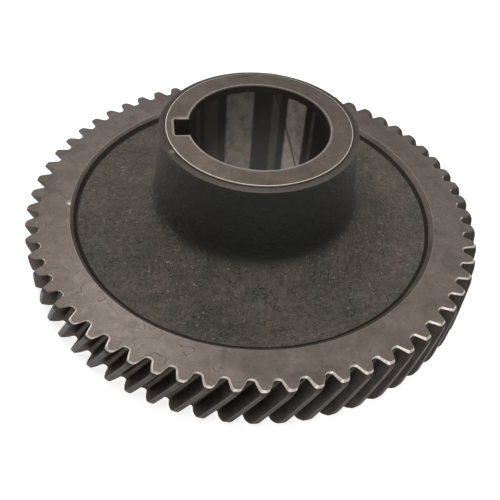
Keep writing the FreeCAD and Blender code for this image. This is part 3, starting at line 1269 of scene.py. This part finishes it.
@dataclass
class HelicalGear:
    """The whole gear: its teeth, the two sides of its section and its bore."""

    teeth: ToothRing = field(default_factory=ToothRing)
    bore: KeyedBore = field(default_factory=KeyedBore)
    rim_wall: float = 16.5
    upper_edge: float = 1.8
    lower_edge: float = 1.0
    upper_depth: float = 3.6
    upper_slope: float = 1.6
    lower_slope: float = 3.0
    web_thickness: float = 13.0
    flare_width: float = 20.5
    flare_height: float = 12.0
    neck_spread: float = 3.3
    neck_fillet: float = 14.0
    flare_fillet: float = 30.0
    wall_fillet: float = 2.0
    hub_wall: float = 13.7
    band_width: float = 3.3
    band_height: float = 1.2
    groove_width: float = 0.6
    groove_depth: float = 0.4
    # small bevel between the groove and the hub's end
    lip: float = 0.2
    boss_wall: float = 16.0
    edge_rounding: float = 0.35
    hub_rounding: float = 0.12
    lip_rounding: float = 0.15
    boss_rounding: float = 0.3
    # how bright the edges are painted: rubbed by handling, and on the upper side partly a painted
    # highlight
    upper_wear_and_highlight: float = 0.1
    lower_wear: float = 0.2
    groove_wear_and_highlight: float = 0.6
    hub_end_wear_and_highlight: float = 1.0
    boss_wear: float = 0.5
    forged_spacing: float = 2.2
    # how far a knock or a worn edge can reach into each flat face
    rim_margin: float = 2.6
    hub_margin: float = 1.0
    lower_rim_margin: float = 0.6
    boss_margin: float = 0.8
    nicks: tuple[Nick, ...] = (
        Nick(91.0, math.radians(176.8), 1.2, 0.35),
        Nick(44.0, math.radians(202.8), 1.6, 0.3),
    )
    sharp_angle: float = math.radians(28.0)

    def _upper_section(self) -> TurnedSection:
        """Lay out the rim's recess, the web, the flare, the neck and the hub's end.

        Returns:
            The upper side's section.
        """
        form = self.teeth.form
        rim = form.root_radius - self.rim_wall
        top = form.rim_width
        web = top - self.upper_depth
        hub = self.bore.radius + self.hub_wall
        neck = hub + self.neck_spread
        end = self.bore.height
        ring = hub - self.band_width
        fall = self.band_height / self.band_width
        return TurnedSection([
            Corner(rim + self.upper_edge + self.rim_margin, top),
            Corner(rim + self.upper_edge + self.edge_rounding, top),
            Corner(rim + self.upper_edge, top, self.edge_rounding, Surface.RIM_BAND,
                   wear_and_highlight=self.upper_wear_and_highlight),
            Corner(rim, top - self.upper_edge, 0.0, Surface.WALL, climb=1.0),
            Corner(rim - self.upper_slope, web, self.wall_fillet, Surface.FORGED,
                   self.forged_spacing),
            Corner(neck + self.flare_width, web, self.flare_fillet, Surface.FORGED,
                   self.forged_spacing),
            Corner(neck, web + self.flare_height, self.neck_fillet, Surface.FORGED,
                   self.forged_spacing),
            Corner(hub, end - self.band_height, self.hub_rounding, Surface.HUB_BAND,
                   wear_and_highlight=self.upper_wear_and_highlight),
            Corner(ring + self.groove_width, end - self.groove_width * fall - self.groove_depth,
                   0.0, Surface.WALL),
            Corner(ring + self.lip, end - self.lip, 0.0, Surface.HUB_BAND,
                   wear_and_highlight=self.groove_wear_and_highlight),
            Corner(ring, end, self.lip_rounding, Surface.HUB_END, wear_and_highlight=self.hub_end_wear_and_highlight),
            Corner(ring - self.edge_rounding, end, 0.0, Surface.HUB_END),
            Corner(ring - self.hub_margin, end, 0.0, Surface.HUB_END),
        ], self.nicks)

    def _lower_section(self) -> TurnedSection:
        """Lay out the lower recess and the short boss.

        Returns:
            The lower side's section.
        """
        rim = self.teeth.form.root_radius - self.rim_wall
        web = self.teeth.form.rim_width - self.upper_depth - self.web_thickness
        boss = self.bore.radius + self.boss_wall
        end = boss - self.lower_edge
        return TurnedSection([
            Corner(rim + self.lower_edge + self.lower_rim_margin, 0.0),
            Corner(rim + self.lower_edge, 0.0, self.edge_rounding, Surface.RIM_BAND,
                   wear_and_highlight=self.lower_wear),
            Corner(rim, self.lower_edge, 0.0, Surface.WALL, self.forged_spacing, climb=-1.0),
            Corner(rim - self.lower_slope, web, self.wall_fillet, Surface.FORGED,
                   self.forged_spacing),
            Corner(boss + self.lower_slope, web, self.wall_fillet, Surface.FORGED,
                   self.forged_spacing),
            Corner(boss, self.lower_edge, self.boss_rounding, Surface.HUB_BAND),
            Corner(end, 0.0, self.edge_rounding, Surface.HUB_END, wear_and_highlight=self.boss_wear),
            Corner(end - self.boss_margin, 0.0, 0.0, Surface.HUB_END),
        ])

    def build(self) -> bpy.types.Object:
        """Build the gear's mesh and give each surface its finish.

        Returns:
            The gear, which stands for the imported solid.
        """
        skin = Skin()
        upper_teeth, lower_teeth = self.teeth.build(skin)
        upper_rim, hub_end = self._upper_section().build(skin)
        lower_rim, boss_end = self._lower_section().build(skin)
        self.teeth.join_face(skin, upper_teeth, upper_rim, self.teeth.form.rim_width)
        self.teeth.join_face(skin, lower_teeth, lower_rim, 0.0)
        self.bore.build(skin, hub_end, boss_end)
        mesh = skin.mesh("gear_skin", self.sharp_angle)
        gear = bpy.data.objects.new("gear", mesh)
        bpy.context.scene.collection.objects.link(gear)
        for surface in Surface:
            mesh.materials.append(FINISHES[surface].material())
        log.info("gear: %d points, %d faces", len(mesh.vertices), len(mesh.polygons))
        return gear


@dataclass(frozen=True)
class Viewpoint:
    """Where the photograph was taken from, about the middle of the rim's upper face.

    Attributes:
        distance: Metres from that point to the lens.
        elevation: Degrees above the rim's face.
        turn: Degrees about the gear's axis, from the +X side.
        pan: Degrees that the camera looks to the side of that point.
        tilt: Degrees that it looks above that point.
        roll: Degrees that it leans.
        lens: Focal length in millimetres.
        sensor: The sensor's width in millimetres.
        aim_height: Height of the rim's upper face in metres.
        nearest: Metres from the lens to the nearest thing that it shows.
    """

    distance: float = 0.3493
    elevation: float = 41.938
    turn: float = -100.2
    pan: float = -0.029
    tilt: float = -3.953
    roll: float = -4.561
    lens: float = 49.52
    sensor: float = 36.0
    aim_height: float = 0.026
    nearest: float = 0.01

    def place(self) -> None:
        """Add the camera and make it the scene's."""
        turn = math.radians(self.turn)
        level = math.radians(self.elevation)
        outward = Vector((math.cos(turn), math.sin(turn), 0.0))
        position = self.distance * (outward * math.cos(level) + Vector((0, 0, math.sin(level))))
        ahead = -position.normalized()
        right = Vector((-math.sin(turn), math.cos(turn), 0.0))
        up = right.cross(ahead)
        ahead = Matrix.Rotation(math.radians(self.pan), 3, up) @ ahead
        right = Matrix.Rotation(math.radians(self.pan), 3, up) @ right
        ahead = Matrix.Rotation(math.radians(self.tilt), 3, right) @ ahead
        right = Matrix.Rotation(math.radians(self.roll), 3, ahead) @ right
        up = right.cross(ahead)
        data = bpy.data.cameras.new("camera")
        data.sensor_width = self.sensor
        data.lens = self.lens
        data.clip_start = self.nearest
        camera = bpy.data.objects.new("camera", data)
        facing = Matrix((right, up, -ahead)).transposed().to_4x4()
        camera.matrix_world = (Matrix.Translation(position + Vector((0, 0, self.aim_height)))
                               @ facing)
        bpy.context.scene.collection.objects.link(camera)
        bpy.context.scene.camera = camera


@dataclass(frozen=True)
class Softbox:
    """A soft studio lamp.

    Attributes:
        name: What it does.
        place: Where it stands, in metres.
        size: Its sides in metres.
        power: Its power in watts.
    """

    name: str
    place: Point
    size: tuple[float, float]
    power: float

    def hang(self, target: Vector) -> None:
        """Add the lamp.

        Args:
            target: The point that it faces.
        """
        data = bpy.data.lights.new(self.name, "AREA")
        data.shape = "RECTANGLE"
        data.size, data.size_y = self.size
        data.energy = self.power
        lamp = bpy.data.objects.new(self.name, data)
        lamp.location = self.place
        lamp.rotation_euler = (target - Vector(self.place)).to_track_quat("-Z", "Y").to_euler()
        bpy.context.scene.collection.objects.link(lamp)


@dataclass(frozen=True)
class Studio:
    """A pale floor, a plain pale surround and soft lamps.

    Attributes:
        floor_size: Side of the floor in metres.
        floor_drop: How far the floor lies below the gear, so that the two don't fight.
        paper: Colour of the floor.
        floor_lift: Plain white that the camera and reflections see on the floor besides its light.
        surround: Strength of the room's plain light.
        wall: Colour of the wall behind the gear, and of the room's light.
        aim_height: Height on the gear's axis that the lamps face, in metres.
        lamps: The lamps.
    """

    floor_size: float = 6.0
    floor_drop: float = 0.0002
    paper: str = "#e6e6e6"
    floor_lift: float = 0.7
    surround: float = 0.25
    wall: str = "#ffffff"
    aim_height: float = 0.03
    lamps: tuple[Softbox, ...] = (
        Softbox("overhead", (0.22, 0.55, 1.06), (1.6, 1.35), 7.1),
        Softbox("top", (0.0, -0.2, 1.2), (0.7, 0.7), 3.0),
        Softbox("back", (-0.11, 0.72, 0.94), (0.26, 0.26), 0.6),
        Softbox("front", (-0.14, -0.72, 0.8), (0.5, 0.5), 1.5),
        Softbox("left", (-0.74, 0.8, 0.16), (0.4, 0.3), 1.3),
    )

    def _floor(self) -> None:
        """Lay the floor."""
        half = self.floor_size / 2
        corners = ((-half, -half), (half, -half), (half, half), (-half, half))
        mesh = bpy.data.meshes.new("floor")
        mesh.from_pydata([(*corner, -self.floor_drop) for corner in corners], [], [(0, 1, 2, 3)])
        floor = bpy.data.objects.new("floor", mesh)
        bpy.context.scene.collection.objects.link(floor)
        material = bpy.data.materials.new("matt_white_paper")
        material.use_nodes = True
        tree = material.node_tree
        tree.nodes.clear()
        paper = add_node(tree, "ShaderNodeBsdfDiffuse", {"Color": linear(self.paper)})
        lift = add_node(tree, "ShaderNodeMath", {"operation": "MULTIPLY", 0: self._seen(tree),
                                                 1: self.floor_lift}).outputs[0]
        glow = add_node(tree, "ShaderNodeEmission", {"Strength": lift})
        both = add_node(tree, "ShaderNodeAddShader", {0: paper.outputs[0], 1: glow.outputs[0]})
        add_node(tree, "ShaderNodeOutputMaterial", {"Surface": both.outputs[0]})
        mesh.materials.append(material)

    @staticmethod
    def _seen(tree: Tree) -> Socket:
        """Tell the rays that show the floor from those that carry its light.

        Args:
            tree: The floor's node tree.

        Returns:
            1 for rays from the camera, or by a reflection or through glass, and else 0.
        """
        path = add_node(tree, "ShaderNodeLightPath").outputs
        seen = path["Is Camera Ray"]
        for kind in ("Is Glossy Ray", "Is Transmission Ray"):
            seen = add_node(tree, "ShaderNodeMath",
                            {"operation": "MAXIMUM", 0: seen, 1: path[kind]}).outputs[0]
        return seen

    def _surround(self) -> None:
        """Light the room evenly, with a white wall behind the gear."""
        world = bpy.data.worlds.new("surround")
        world.use_nodes = True
        tree = world.node_tree
        tree.nodes.clear()
        camera_ray = add_node(tree, "ShaderNodeLightPath").outputs["Is Camera Ray"]
        strength = add_node(tree, "ShaderNodeMapRange",
                            {"To Min": self.surround, "To Max": 1.0,
                             "Value": camera_ray}).outputs["Result"]
        light = add_node(tree, "ShaderNodeBackground",
                         {"Color": linear(self.wall), "Strength": strength})
        add_node(tree, "ShaderNodeOutputWorld", {"Surface": light.outputs[0]})
        bpy.context.scene.world = world

    def build(self) -> None:
        """Set up the floor, the surround and the lamps."""
        bpy.context.scene.view_settings.view_transform = "Standard"
        self._floor()
        self._surround()
        for lamp in self.lamps:
            lamp.hang(Vector((0.0, 0.0, self.aim_height)))
        log.info("studio: %d lamps", len(self.lamps))


def main() -> None:
    """Build the gear, then the studio and the camera."""
    logging.basicConfig(level=logging.INFO, format="%(name)s: %(message)s")
    gear = HelicalGear().build()
    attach(gear, BODY)
    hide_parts(GEAR_NODE)
    Studio().build()
    Viewpoint().place()


if __name__ == "__main__":
    main()
